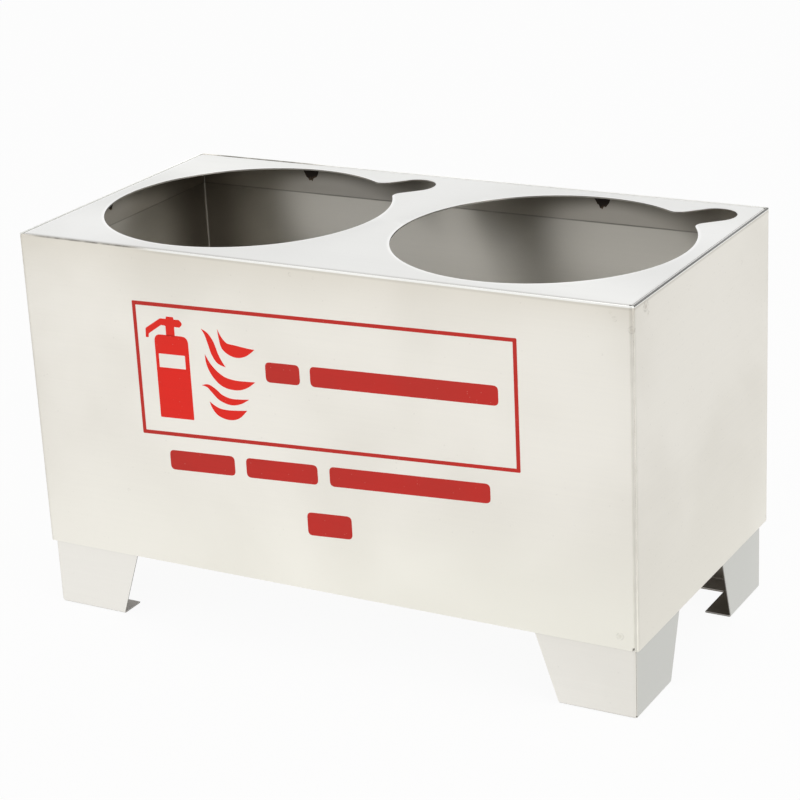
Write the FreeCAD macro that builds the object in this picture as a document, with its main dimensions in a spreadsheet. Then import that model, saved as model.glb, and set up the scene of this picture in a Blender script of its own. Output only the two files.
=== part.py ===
"""Stand for two fire extinguishers, folded and welded from thin stainless steel sheet.

A wrap of four walls is closed at the top by a folded plate with two round wells, each with a
rounded tail for the hose, and below by a folded base plate that carries the bottles. Four
folded corner legs with feet turned inwards sit inside the rim of the base plate.

The frame has its origin on the floor under the middle of the stand, +X to the right along the
front, +Y to the back and +Z up. All sizes are in millimetres.
"""
import FreeCAD, Part
import Sketcher
import math
import os

SIZES = {
    # Wells, which set the width and the depth of the stand
    "well_diameter": 177,
    "well_gap": 23,
    "well_land": 11.5,
    "tail_width": 27.5,
    "tail_length": 17.5,
    "tail_angle": 45,
    "tail_blend": 7,
    # Sheet and folds
    "sheet_gauge": 1.0,
    "bend_inside": 1.0,
    # Wrap of four walls
    "body_height": 200,
    "seam_gap": 0.3,
    "seam_foot_width": 1.4,
    "seam_foot_height": 2.0,
    # Top plate
    "top_flange": 19,
    "top_side_gap": 0.5,
    # Base plate
    "base_flange": 19,
    # Corner legs
    "leg_drop": 43,
    "leg_top_width": 68,
    "leg_foot_width": 48,
    "leg_back_inset": 7,
    "foot_flange": 17,
    "foot_mitre_gap": 0.6,
}

WELL_SPACING = "(sizes.well_diameter + sizes.well_gap)"
TAIL_REACH = "(sizes.well_diameter / 2 + sizes.tail_length)"
BODY_WIDTH = f"(sizes.well_diameter + {WELL_SPACING} + 2 * sizes.well_land)"
BODY_DEPTH = "(sizes.well_diameter + 2 * sizes.well_land)"
BEND_OUTSIDE = "(sizes.bend_inside + sizes.sheet_gauge)"
INNER_WIDTH = f"({BODY_WIDTH} - 2 * sizes.sheet_gauge)"
INNER_DEPTH = f"({BODY_DEPTH} - 2 * sizes.sheet_gauge)"
TOP_WIDTH = f"({INNER_WIDTH} - sizes.top_side_gap)"
LEG_HEIGHT = f"(sizes.leg_drop + sizes.base_flange - {BEND_OUTSIDE})"
LEG_SIDE_INSET = "2 * sizes.sheet_gauge"

# Lengths under this are taken as zero when edges and faces are picked
TOUCH = 1e-6

# Each leg's name, its corner of the stand in X and Y, and its quarter turns about +Z
LEGS = [
    ("leg_front_left", -1, -1, 0),
    ("leg_front_right", 1, -1, 1),
    ("leg_back_right", 1, 1, 2),
    ("leg_back_left", -1, 1, 3),
]


def make_sheet(doc):
    """Writes the driving sizes, one cell each, with its name as alias."""
    sheet = doc.addObject("Spreadsheet::Sheet", "sizes")
    for row, (name, size) in enumerate(SIZES.items(), start=1):
        sheet.set(f"A{row}", name)
        sheet.set(f"B{row}", str(size))
        sheet.setAlias(f"B{row}", name)
    doc.recompute()


def number(item, formula):
    """Value of a formula on the sheet, as a plain number."""
    found = item.evalExpression(formula)
    return float(getattr(found, "Value", found))


def new_body(doc, name):
    body = doc.addObject("PartDesign::Body", name)
    body.Label = name
    return body


def new_sketch(body, name, plane_role):
    """Sketch on one of the body's own origin planes."""
    plane = next(item for item in body.Origin.OriginFeatures if item.Role == plane_role)
    sketch = body.newObject("Sketcher::SketchObject", name)
    sketch.AttachmentSupport = (plane, "")
    sketch.MapMode = "FlatFace"
    return sketch


def fix(sketch, constraint, formula):
    """Adds a constraint whose value follows a formula on the sheet."""
    index = sketch.addConstraint(constraint)
    sketch.setExpression(f"Constraints[{index}]", formula)


def draw_outline(sketch, corners):
    """Closed outline of straight lines through corners given as pairs of formulas."""
    places = []
    for across, up in corners:
        places.append(FreeCAD.Vector(number(sketch, across), number(sketch, up), 0))
    first = sketch.GeometryCount
    count = len(corners)
    for index, start in enumerate(places):
        sketch.addGeometry(Part.LineSegment(start, places[(index + 1) % count]))
    for index in range(count):
        following = first + (index + 1) % count
        sketch.addConstraint(Sketcher.Constraint("Coincident", first + index, 2, following, 1))
    for index, (across, up) in enumerate(corners):
        place = places[index]
        line = first + index
        fix(sketch, Sketcher.Constraint("DistanceX", -1, 1, line, 1, place.x), across)
        fix(sketch, Sketcher.Constraint("DistanceY", -1, 1, line, 1, place.y), up)


def draw_rectangle(sketch, left, right, near, far):
    draw_outline(sketch, [(left, near), (right, near), (right, far), (left, far)])


def pad(body, sketch, length):
    feature = body.newObject("PartDesign::Pad", sketch.Name + "_pad")
    feature.Profile = sketch
    feature.setExpression("Length", length)
    body.Document.recompute()
    return feature


def pocket(body, sketch, base, length=None, along_normal=True):
    """Cuts through everything, or to a length, along the sketch's normal or against it."""
    before = base.Shape.Volume
    feature = body.newObject("PartDesign::Pocket", sketch.Name + "_cut")
    feature.Profile = sketch
    feature.Reversed = along_normal
    if length is None:
        feature.Type = "ThroughAll"
    else:
        feature.setExpression("Length", length)
    body.Document.recompute()
    if feature.Shape.Volume >= before:
        raise RuntimeError(f"{feature.Name} removed nothing")
    return feature


def edge_names(shape, wanted):
    return [f"Edge{i}" for i, edge in enumerate(shape.Edges, start=1) if wanted(edge)]


def face_names(shape, wanted):
    return [f"Face{i}" for i, face in enumerate(shape.Faces, start=1) if wanted(face)]


def is_upright(edge):
    start = edge.Vertexes[0].Point
    end = edge.Vertexes[-1].Point
    return math.hypot(end.x - start.x, end.y - start.y) < TOUCH


def lies_at(height):
    """Test for an edge or a face that lies flat at one height."""
    def wanted(item):
        box = item.BoundBox
        return abs(box.ZMin - height) < TOUCH and abs(box.ZMax - height) < TOUCH
    return wanted


def bend(body, base, edges):
    """Rounds edges to the outside radius of a fold."""
    feature = body.newObject("PartDesign::Fillet", base.Name + "_bends")
    feature.Base = (base, edges)
    feature.setExpression("Radius", BEND_OUTSIDE)
    body.Document.recompute()
    return feature


def hollow(body, base, open_faces):
    """Leaves a sheet of the gauge inside the outline, open at the named faces."""
    feature = body.newObject("PartDesign::Thickness", base.Name + "_sheet")
    feature.Base = (base, open_faces)
    feature.setExpression("Value", "sizes.sheet_gauge")
    feature.Reversed = True
    body.Document.recompute()
    return feature


def make_body_shell(doc):
    """Four walls bent from one strip, which meets itself beside the front right fold."""
    body = new_body(doc, "body_shell")
    plan = new_sketch(body, "wall_plan", "XY_Plane")
    half_width = f"{BODY_WIDTH} / 2"
    half_depth = f"{BODY_DEPTH} / 2"
    draw_rectangle(plan, f"-{half_width}", half_width, f"-{half_depth}", half_depth)
    block = pad(body, plan, "sizes.body_height")
    folded = bend(body, block, edge_names(block.Shape, is_upright))
    height = number(body, "sizes.body_height")
    ends = face_names(folded.Shape, lies_at(0)) + face_names(folded.Shape, lies_at(height))
    walls = hollow(body, folded, ends)

    front = f"-{half_depth}"
    inside = f"{front} + sizes.sheet_gauge"
    seam_right = f"{half_width} - {BEND_OUTSIDE}"
    seam = new_sketch(body, "seam", "XY_Plane")
    draw_rectangle(seam, f"{seam_right} - sizes.seam_gap", seam_right, front, inside)
    slit = pocket(body, seam, walls)
    foot = new_sketch(body, "seam_foot", "XY_Plane")
    draw_rectangle(foot, f"{seam_right} - sizes.seam_foot_width", seam_right, front, inside)
    pocket(body, foot, slit, "sizes.seam_foot_height")
    body.setExpression("Placement.Base.z", "sizes.leg_drop")
    return body


def make_tray(doc, name, width, depth, flange):
    """Plate with four rims folded down and its corners cut out so that the rims can fold."""
    body = new_body(doc, name)
    plan = new_sketch(body, name + "_plan", "XY_Plane")
    half_width = f"{width} / 2"
    half_depth = f"{depth} / 2"
    draw_rectangle(plan, f"-{half_width}", half_width, f"-{half_depth}", half_depth)
    block = pad(body, plan, flange)
    folded = bend(body, block, edge_names(block.Shape, lies_at(number(body, flange))))
    tray = hollow(body, folded, face_names(folded.Shape, lies_at(0)))

    corners = new_sketch(body, name + "_corners", "XY_Plane")
    for side_x in ("-", ""):
        for side_y in ("-", ""):
            outer_x = f"{side_x}{half_width}"
            outer_y = f"{side_y}{half_depth}"
            inner_x = f"{side_x}({half_width} - {BEND_OUTSIDE})"
            inner_y = f"{side_y}({half_depth} - {BEND_OUTSIDE})"
            draw_rectangle(corners, inner_x, outer_x, inner_y, outer_y)
    return body, pocket(body, corners, tray)


def draw_well(sketch, centre_x):
    """Round hole that runs out into a tail with a round end and blended shoulders."""
    radius = number(sketch, "sizes.well_diameter / 2")
    tail = number(sketch, "sizes.tail_width / 2")
    reach = number(sketch, TAIL_REACH)
    turn = math.radians(number(sketch, "sizes.tail_angle"))
    blend = number(sketch, "sizes.tail_blend")
    middle = FreeCAD.Vector(number(sketch, centre_x), 0, 0)
    along = FreeCAD.Vector(math.cos(turn), math.sin(turn), 0)
    across = FreeCAD.Vector(-math.sin(turn), math.cos(turn), 0)
    up = FreeCAD.Vector(0, 0, 1)

    # The blend touches the round hole from outside and the straight side of the tail
    out = math.sqrt((radius + blend) ** 2 - (tail + blend) ** 2)
    opening = math.asin((tail + blend) / (radius + blend))
    end_centre = middle + along * reach
    left_centre = middle + along * out + across * (tail + blend)
    right_centre = middle + along * out - across * (tail + blend)

    def arc(centre, size, start, stop):
        return Part.ArcOfCircle(Part.Circle(centre, up, size), start, stop)

    quarter = math.pi / 2
    hole = sketch.addGeometry(arc(middle, radius, turn + opening, turn - opening + 4 * quarter))
    right_blend = sketch.addGeometry(
        arc(right_centre, blend, turn + quarter, turn - opening + 2 * quarter))
    right_side = sketch.addGeometry(Part.LineSegment(
        middle + along * out - across * tail, end_centre - across * tail))
    end = sketch.addGeometry(arc(end_centre, tail, turn - quarter, turn + quarter))
    left_side = sketch.addGeometry(Part.LineSegment(
        end_centre + across * tail, middle + along * out + across * tail))
    left_blend = sketch.addGeometry(
        arc(left_centre, blend, turn + opening + 2 * quarter, turn + 3 * quarter))

    for one, one_end, other, other_end in (
            (hole, 2, right_blend, 2), (right_blend, 1, right_side, 1), (right_side, 2, end, 1),
            (end, 2, left_side, 1), (left_side, 2, left_blend, 2), (left_blend, 1, hole, 1)):
        sketch.addConstraint(Sketcher.Constraint("Tangent", one, one_end, other, other_end))
    sketch.addConstraint(Sketcher.Constraint("Equal", right_blend, left_blend))
    sketch.addConstraint(Sketcher.Constraint("Equal", right_side, left_side))
    sketch.addConstraint(Sketcher.Constraint("Parallel", right_side, left_side))
    fix(sketch, Sketcher.Constraint("Radius", hole, radius), "sizes.well_diameter / 2")
    fix(sketch, Sketcher.Constraint("Radius", end, tail), "sizes.tail_width / 2")
    fix(sketch, Sketcher.Constraint("Radius", right_blend, blend), "sizes.tail_blend")
    sketch.addConstraint(Sketcher.Constraint("PointOnObject", hole, 3, -1))
    fix(sketch, Sketcher.Constraint("DistanceX", -1, 1, hole, 3, middle.x), centre_x)
    fix(sketch, Sketcher.Constraint("DistanceX", hole, 3, end, 3, along.x * reach),
        f"{TAIL_REACH} * cos(sizes.tail_angle * 1 deg)")
    fix(sketch, Sketcher.Constraint("DistanceY", hole, 3, end, 3, along.y * reach),
        f"{TAIL_REACH} * sin(sizes.tail_angle * 1 deg)")


def make_top_plate(doc):
    """Folded plate with one well cut and repeated along the front."""
    body, tray = make_tray(doc, "top_plate", TOP_WIDTH, INNER_DEPTH, "sizes.top_flange")
    well = new_sketch(body, "well", "XY_Plane")
    draw_well(well, f"sizes.top_side_gap / 2 - {WELL_SPACING} / 2")
    first = pocket(body, well, tray)
    wells = body.newObject("PartDesign::LinearPattern", "wells")
    wells.Originals = [first]
    wells.Direction = (well, ["H_Axis"])
    wells.setExpression("Length", WELL_SPACING)
    wells.Occurrences = 2
    body.Tip = wells
    doc.recompute()
    # The plate lies against the left wall, so its spare width shows beside the right wall
    body.setExpression("Placement.Base.x", "-sizes.top_side_gap / 2")
    body.setExpression("Placement.Base.z",
                       "sizes.leg_drop + sizes.body_height - sizes.top_flange")
    return body


def make_base_plate(doc):
    """Folded plate that carries the bottles, its rims level with the walls' lower edges."""
    body, tray = make_tray(doc, "base_plate", INNER_WIDTH, INNER_DEPTH, "sizes.base_flange")
    body.setExpression("Placement.Base.z", "sizes.leg_drop")
    return body


def make_leg(doc, name, side_x, side_y, quarter_turns):
    """Corner leg of two tapering plates, each with a foot turned inwards on the floor."""
    body = new_body(doc, name)
    width = "sizes.leg_top_width"
    foot = "sizes.leg_foot_width"
    plan = new_sketch(body, name + "_plan", "XY_Plane")
    draw_rectangle(plan, "0", width, "0", width)
    block = pad(body, plan, LEG_HEIGHT)

    def is_fold(edge):
        box = edge.BoundBox
        on_corner = box.XMax < TOUCH and box.YMax < TOUCH
        on_foot = box.ZMax < TOUCH and (box.XMax < TOUCH or box.YMax < TOUCH)
        return on_corner or on_foot

    folded = bend(body, block, edge_names(block.Shape, is_fold))
    limit = number(body, width)
    top = number(body, LEG_HEIGHT)

    def is_open(face):
        box = face.BoundBox
        return box.XMin > limit - TOUCH or box.YMin > limit - TOUCH or box.ZMin > top - TOUCH

    plates = hollow(body, folded, face_names(folded.Shape, is_open))

    # Floor between the two feet, and the slit along the mitre where they meet
    clearing = new_sketch(body, name + "_clearing", "XY_Plane")
    draw_rectangle(clearing, "sizes.foot_flange", width, "sizes.foot_flange", width)
    cleared = pocket(body, clearing, plates, "sizes.sheet_gauge")
    mitre = new_sketch(body, name + "_mitre", "XY_Plane")
    gap = "sizes.foot_mitre_gap"
    inner = f"sizes.foot_flange + {gap}"
    draw_outline(mitre, [
        ("0", "0"), (gap, "0"), (inner, "sizes.foot_flange"), (inner, inner),
        ("sizes.foot_flange", inner), ("0", gap)])
    slit = pocket(body, mitre, cleared, BEND_OUTSIDE)

    # Slanting inner edges, narrower at the floor
    front_taper = new_sketch(body, name + "_front_taper", "XZ_Plane")
    draw_outline(front_taper, [(foot, "0"), (width, "0"), (width, LEG_HEIGHT)])
    tapered = pocket(body, front_taper, slit, along_normal=False)
    side_taper = new_sketch(body, name + "_side_taper", "YZ_Plane")
    draw_outline(side_taper, [(foot, "0"), (width, "0"), (width, LEG_HEIGHT)])
    pocket(body, side_taper, tapered)

    inset_y = LEG_SIDE_INSET if side_y < 0 else "sizes.leg_back_inset"
    body.Placement.Rotation = FreeCAD.Rotation(FreeCAD.Vector(0, 0, 1), 90 * quarter_turns)
    body.setExpression("Placement.Base.x",
                       f"{side_x} * ({BODY_WIDTH} / 2 - {LEG_SIDE_INSET})")
    body.setExpression("Placement.Base.y", f"{side_y} * ({BODY_DEPTH} / 2 - {inset_y})")
    return body


def check_document(doc, bodies):
    """Stops before anything is written if a feature failed or a shape is broken."""
    for item in doc.Objects:
        if "Invalid" in item.State or "Error" in item.State:
            raise RuntimeError(f"{item.Name} is {item.State}")
    for body in bodies:
        if body.Shape.isNull() or not body.Shape.isValid():
            raise RuntimeError(f"{body.Label} has no valid shape")
        if len(body.Shape.Solids) != 1:
            raise RuntimeError(f"{body.Label} has {len(body.Shape.Solids)} solids")


def main():
    doc = FreeCAD.newDocument("extinguisher_stand")
    make_sheet(doc)
    bodies = [make_body_shell(doc), make_top_plate(doc), make_base_plate(doc)]
    for leg in LEGS:
        bodies.append(make_leg(doc, *leg))
    doc.recompute()
    check_document(doc, bodies)
    os.makedirs("parts", exist_ok=True)
    for body in bodies:
        body.Shape.exportStep(f"parts/{body.Label}.step")
        box = body.Shape.BoundBox
        print(f"{body.Label}: {body.Shape.Volume / 1000:.1f} cm3, "
              f"X {box.XMin:.1f} to {box.XMax:.1f}, Y {box.YMin:.1f} to {box.YMax:.1f}, "
              f"Z {box.ZMin:.1f} to {box.ZMax:.1f}")


main()
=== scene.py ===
"""Looks for the fire extinguisher stand: satin sheet steel, red print and weld marks."""

import math
import random

import bmesh
import bpy
from mathutils import Matrix, Vector
from mathutils.geometry import tessellate_polygon


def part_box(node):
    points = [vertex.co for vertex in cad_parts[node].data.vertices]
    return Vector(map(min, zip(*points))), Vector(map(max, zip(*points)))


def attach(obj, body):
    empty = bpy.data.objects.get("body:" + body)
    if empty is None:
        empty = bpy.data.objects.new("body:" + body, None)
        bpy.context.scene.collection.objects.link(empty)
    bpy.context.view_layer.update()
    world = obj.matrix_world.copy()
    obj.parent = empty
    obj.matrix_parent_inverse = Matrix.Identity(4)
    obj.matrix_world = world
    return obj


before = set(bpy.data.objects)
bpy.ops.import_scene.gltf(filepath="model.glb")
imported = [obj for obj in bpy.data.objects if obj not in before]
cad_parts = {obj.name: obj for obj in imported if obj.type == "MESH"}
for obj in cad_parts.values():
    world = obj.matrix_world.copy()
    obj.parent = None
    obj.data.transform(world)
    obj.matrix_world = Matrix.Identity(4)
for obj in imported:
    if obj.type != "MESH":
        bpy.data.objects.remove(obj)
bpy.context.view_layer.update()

wall_low, wall_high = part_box("body_shell")
top_low, top_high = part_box("top_plate")

# Camera, fitted to the corners, the wells and the feet in the photograph.
AZIMUTH = math.radians(29.7799)
ELEVATION = math.radians(20.2848)
ROLL = math.radians(-2.8833)
EYE = Vector((0.6748, -1.1792, 0.6313))
LENS = 106.68
SENSOR_WIDTH = 36

# Print on the front wall, in millimetres. The sign leans a little up to the right.
SIGN_LEFT = -120.0
SIGN_RIGHT = 130.0
SIGN_TALL = 81.3
SIGN_FOOT = 127.6
FOOT_RISE = 0.050
HEAD_RISE = 0.0288
FRAME_LINE = 2.4
FILM = 0.06

# Sizes of the stand that its finishes follow, in metres.
SHEET = 0.0010
HALF_SHEET = 0.0005
WELL_OFFSET = 0.1
WELL_RADIUS = 0.0885
LEG_SIDE = 0.198
LEG_FRONT = 0.098
LEG_BACK = 0.093
LEG_TOP = 0.060

# Steel, outside: each sheet's clean colour and its stained one.
WARM_STEEL = (0.915, 0.888, 0.822, 1)
WARM_STEEL_DULL = (0.885, 0.857, 0.787, 1)
WHITE_STEEL = (0.830, 0.830, 0.815, 1)
WHITE_STEEL_DULL = (0.806, 0.806, 0.788, 1)
# The base plate is coloured dark so that the inside of the box stays dark: painted shade.
BASE_SHADE_STEEL = (0.420, 0.408, 0.385, 1)
BASE_SHADE_STEEL_DARK = (0.350, 0.340, 0.320, 1)
LEG_STEEL = (0.845, 0.825, 0.775, 1)
LEG_STEEL_DULL = (0.800, 0.780, 0.728, 1)
# The legs' end faces are coloured darker than their fronts: painted shade.
LEG_END_SHADE_STEEL = (0.610, 0.612, 0.580, 1)

# Steel, inside the box: darker than outside as painted shade, lighter low on the walls as painted
# light.
INNER_SHADE_STEEL = (0.715, 0.690, 0.630, 1)
INNER_SHADE_STEEL_LOW = (0.820, 0.793, 0.728, 1)
TOP_INNER_SHADE_STEEL = (0.580, 0.555, 0.506, 1)
LEG_INNER_SHADE_STEEL = (0.180, 0.170, 0.155, 1)

# Wear and marks on the steel, and painted light and shade: how strongly each covers it, and the
# colour it gives.
# Painted light along the walls' foot, then painted shade under the front wall's upper edge.
FOOT_LIGHT = (0.70, (0.975, 0.960, 0.872, 1))
TOP_SHADE = (0.30, (0.630, 0.570, 0.460, 1))
FOLD_RUB = (0.22, (0.660, 0.630, 0.560, 1))
# Painted highlight on the walls' upper edge, then the painted shadow lines under it and in the open
# joint.
CUT_EDGE_HIGHLIGHT = (1.00, (0.990, 0.990, 0.960, 1))
UNDER_EDGE_SHADOW = (0.50, (0.600, 0.570, 0.500, 1))
OPEN_JOINT_SHADOW = (0.76, (0.100, 0.095, 0.080, 1))
# Painted shade along the plate's front joint, then painted highlight on its lips and left fold.
PLATE_JOINT_SHADE = (0.52, (0.300, 0.280, 0.250, 1))
PLATE_LIP_HIGHLIGHT = (0.80, (0.980, 0.980, 0.970, 1))
# Painted shadow in the gap beside the right wall.
RIGHT_GAP_SHADOW = (0.85, (0.060, 0.058, 0.053, 1))
# Painted shade in the inner corners.
CORNER_SHADE = (0.72, (0.170, 0.145, 0.115, 1))
PLATE_SHADOW = (0.80, (0.120, 0.105, 0.082, 1))
# Painted shadow line under the top plate's rims.
RIM_CREASE_SHADOW = (0.55, (0.080, 0.070, 0.060, 1))
FOOT_CREASE = (0.55, (0.900, 0.870, 0.820, 1))
SPECK = (0.14, (0.450, 0.430, 0.390, 1))
WELD_RING = (0.75, (0.360, 0.330, 0.280, 1))
WELD_MIDDLE = (1.00, (0.500, 0.440, 0.360, 1))
SCORCH_BROWN = (0.160, 0.110, 0.070, 1)
SCORCH_BLACK = (0.028, 0.020, 0.015, 1)

# Red print: new and faded, how far it has faded, and its pinholes.
BRIGHT_RED = (0.930, 0.022, 0.012, 1)
BRIGHT_RED_FADED = (0.860, 0.034, 0.020, 1)
DEEP_RED = (0.640, 0.030, 0.022, 1)
DEEP_RED_FADED = (0.560, 0.038, 0.028, 1)
RED_FADING = 0.55
PINHOLE = (0.35, (0.820, 0.420, 0.360, 1))

# How much the marks change the roughness, and how high or deep they are in metres.
GRAIN_ROUGH = 0.10
STAIN_ROUGH = 0.05
WEAR_ROUGH = 0.08
RED_ROUGH = 0.42
RED_STAIN_ROUGH = 0.10
GRAIN_HEIGHT = 0.000006
RED_GRAIN_HEIGHT = 0.000004
SOOT_HEIGHT = 0.0001
WELD_DENT = -0.00006

# Studio.
FLOOR_PALE = (0.880, 0.880, 0.870, 1)
WHITE = (1, 1, 1, 1)

# Rolling lines per metre along x, y and z, and how much wider the coarse ones are.
WALL_GRAIN = (14.0, 14.0, 1500.0)
PLATE_GRAIN = (14.0, 1100.0, 1100.0)
COARSE_GRAIN = (0.4, 0.4, 0.23)

# Painted highlight and shadow lines along a wall's upper edge. Each pair says where a fade
# starts and ends, in metres below the edge.
CUT_EDGE_HIGHLIGHT_END = (0.0006, 0.0013)
UNDER_EDGE_SHADOW_START = (0.0008, 0.0013)
UNDER_EDGE_SHADOW_END = (0.0015, 0.0030)
OPEN_JOINT_SHADOW_END = (0.0003, 0.0009)

# The same lines along x: painted shadow in the open joint at the left, then painted highlight and
# shadow.
LEFT_FACE = -0.1985
JOINT_SHADOW_FROM = (-0.196, -0.178)
JOINT_SHADOW_TO = (-0.128, -0.104)
LIT_EDGE_FROM = (-0.122, -0.096)

# Painted light along the walls' foot: its height, its strength along the front, and elsewhere.
FOOT_LIGHT_TALL = (0.0, 0.09)
FOOT_LIGHT_ALONG = (-0.19, 0.12)
FOOT_LIGHT_STRENGTH = (0.45, 1.1)
FOOT_LIGHT_ELSEWHERE = 0.3

# Shade under the front wall's upper edge: how far down it reaches, from left to right.
SHADE_ALONG = (0.10, 0.19)
SHADE_DEPTH = (0.045, 0.026)
FRONT_SKIN = 0.0015

# Inside of the box: its faces start this far under the walls' edge, and the crease this far
# under the plate's rims. Then where the walls turn lighter as painted light, and the plate's
# painted shadow.
INSIDE_TOP = 0.0022
CREASE_DROP = 0.0004
LOW_END = (0.192, 0.226)
CORNER_START = 0.012
SHADOW_SLOPE = 1.3
SHADOW_LEAST = 0.001
SHADOW_PAST = (0.018, 0.045)
SHADOW_STRENGTH = (1.0, 0.25)

# Top plate: the heights over which its lips and its left fold carry painted highlight, and that
# fold's width.
LIP_HIGHLIGHT_FOOT = 0.2427
LEFT_FOLD_HIGHLIGHT_FOOT = 0.2421
LEFT_FOLD_HIGHLIGHT_END = (-0.1975, -0.1955)
RIM_SKIN = 0.0008
PLATE_SKIN = 0.0003
GAP_HALF_WIDTH = 0.0011

# Tack welds under the top plate: middle, direction along the rim, width, drop and shape number.
UNDER_TOP = top_high.z - SHEET
BACK_RIM = top_high.y - SHEET
LEFT_RIM = top_low.x + SHEET
ALONG_BACK = Vector((-1, 0, 0))
ALONG_LEFT = Vector((0, -1, 0))
SCORCHES = [
    ("scorch_back_left", Vector((-0.114, BACK_RIM, UNDER_TOP)), ALONG_BACK, 0.0128, 0.0102, 3),
    ("scorch_back_right", Vector((0.093, BACK_RIM, UNDER_TOP)), ALONG_BACK, 0.0115, 0.0094, 5),
    ("scorch_left", Vector((LEFT_RIM, -0.0090, UNDER_TOP)), ALONG_LEFT, 0.0090, 0.0092, 8),
]
SCORCH_REACH = 0.0125


def feed(tree, node, inputs):
    """Gives each input of a node its value or the output of another node."""
    for key, value in inputs.items():
        if isinstance(value, bpy.types.NodeSocket):
            tree.links.new(value, node.inputs[key])
        else:
            node.inputs[key].default_value = value


def add(tree, kind, inputs=None, **settings):
    """Adds a node with its settings and inputs."""
    made = tree.nodes.new(kind)
    for name, value in settings.items():
        setattr(made, name, value)
    feed(tree, made, inputs or {})
    return made


def calc(tree, operation, first, second=0.0, third=0.0, clamp=False):
    """One Math node, and the value it gives."""
    inputs = {0: first, 1: second, 2: third}
    return add(tree, "ShaderNodeMath", inputs, operation=operation, use_clamp=clamp).outputs[0]


def times(tree, *factors):
    """The product of two or more values."""
    product = factors[0]
    for factor in factors[1:]:
        product = calc(tree, "MULTIPLY", product, factor)
    return product


def calc_vector(tree, operation, first, second=(0.0, 0.0, 0.0)):
    """One Vector Math node, and what it gives: a value for lengths, else a vector."""
    made = add(tree, "ShaderNodeVectorMath", {0: first, 1: second}, operation=operation)
    return made.outputs["Value" if operation in ("LENGTH", "DISTANCE") else "Vector"]


def ramp(tree, value, span, out_span, smooth=True):
    """Turns one span of values into another, held at both ends."""
    inputs = {"Value": value, "From Min": span[0], "From Max": span[1],
              "To Min": out_span[0], "To Max": out_span[1]}
    kind = "SMOOTHSTEP" if smooth else "LINEAR"
    return add(tree, "ShaderNodeMapRange", inputs, interpolation_type=kind).outputs["Result"]


def fade_in(tree, value, span):
    """0 before the span and 1 past it."""
    return ramp(tree, value, span, (0.0, 1.0))


def fade_out(tree, value, span):
    """1 before the span and 0 past it."""
    return ramp(tree, value, span, (1.0, 0.0))


def noise(tree, place, scale, detail, roughness=0.5, distortion=0.0):
    """One Noise Texture node, and the value it gives."""
    inputs = {"Vector": place, "Scale": scale, "Detail": detail, "Roughness": roughness,
              "Distortion": distortion}
    return add(tree, "ShaderNodeTexNoise", inputs).outputs[0]


def axes_of(tree, vector):
    """The X, Y and Z of a vector."""
    return add(tree, "ShaderNodeSeparateXYZ", {0: vector}).outputs


def blend_colour(tree, share, first, second, mode="MIX"):
    """One colour Mix node, and the colour it gives."""
    inputs = {0: share, 6: first, 7: second}
    return add(tree, "ShaderNodeMix", inputs, data_type="RGBA", blend_type=mode).outputs[2]


def lay_over(tree, colour, mask, mark, strength=1.0):
    """Lays a mark over a colour where the mask says: how strongly it covers, and its tint."""
    cover, tint = mark
    share = calc(tree, "MULTIPLY", mask, cover * strength, clamp=True)
    return blend_colour(tree, share, colour, tint)


def open_group(name, takes, gives):
    """Starts a node group: its inputs with their usual values, and the names of its outputs."""
    group = bpy.data.node_groups.new(name, "ShaderNodeTree")
    for title, value in {"Place": (0.0, 0.0, 0.0), **takes}.items():
        kind = "NodeSocketFloat" if isinstance(value, float) else "NodeSocketVector"
        socket = group.interface.new_socket(name=title, in_out="INPUT", socket_type=kind)
        socket.default_value = value
    for title in gives:
        group.interface.new_socket(name=title, in_out="OUTPUT", socket_type="NodeSocketFloat")
    return group, add(group, "NodeGroupInput").outputs, add(group, "NodeGroupOutput")


def close_group(group, leave, outputs):
    """Connects the outputs of a node group and gives the group."""
    feed(group, leave, outputs)
    return group


def use_group(tree, group, inputs):
    """Places a node group in a material with its own values."""
    return add(tree, "ShaderNodeGroup", inputs, node_tree=group).outputs


def past_well(tree, axes, offset, radius):
    """Distance past the edge of the nearer well, seen from above."""
    across = calc(tree, "SUBTRACT", calc(tree, "ABSOLUTE", axes["X"]), offset)
    flat = add(tree, "ShaderNodeCombineXYZ", {"X": across, "Y": axes["Y"]}).outputs[0]
    return calc(tree, "SUBTRACT", calc_vector(tree, "LENGTH", flat), radius)


def make_rolled_grain():
    """Fine rolling lines of the sheet, long one way and thin across."""
    takes = {"Stretch": WALL_GRAIN, "Contrast": 0.04}
    group, given, leave = open_group("rolled grain", takes, ["Grain", "Tone"])
    fine_place = calc_vector(group, "MULTIPLY", given["Place"], given["Stretch"])
    coarse_place = calc_vector(group, "MULTIPLY", fine_place, COARSE_GRAIN)
    fine = noise(group, fine_place, scale=1.0, detail=3.0, roughness=0.6)
    coarse = noise(group, coarse_place, scale=1.0, detail=2.0)
    grain = calc(group, "MULTIPLY_ADD", coarse, 0.45, calc(group, "MULTIPLY", fine, 0.55))
    centred = calc(group, "SUBTRACT", grain, 0.5)
    tone = calc(group, "MULTIPLY_ADD", centred, given["Contrast"], 1.0)
    return close_group(group, leave, {"Grain": grain, "Tone": tone})


def make_soft_stain():
    """Soft cloudy patches left by handling and wiping."""
    takes = {"Patches per Metre": 9.0, "Softness": 0.16}
    group, given, leave = open_group("soft stain", takes, ["Stain"])
    wide = noise(group, given["Place"], given["Patches per Metre"], detail=3.0, distortion=0.4)
    low = calc(group, "SUBTRACT", 0.5, given["Softness"])
    high = calc(group, "ADD", 0.5, given["Softness"])
    return close_group(group, leave, {"Stain": fade_in(group, wide, (low, high))})


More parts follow.
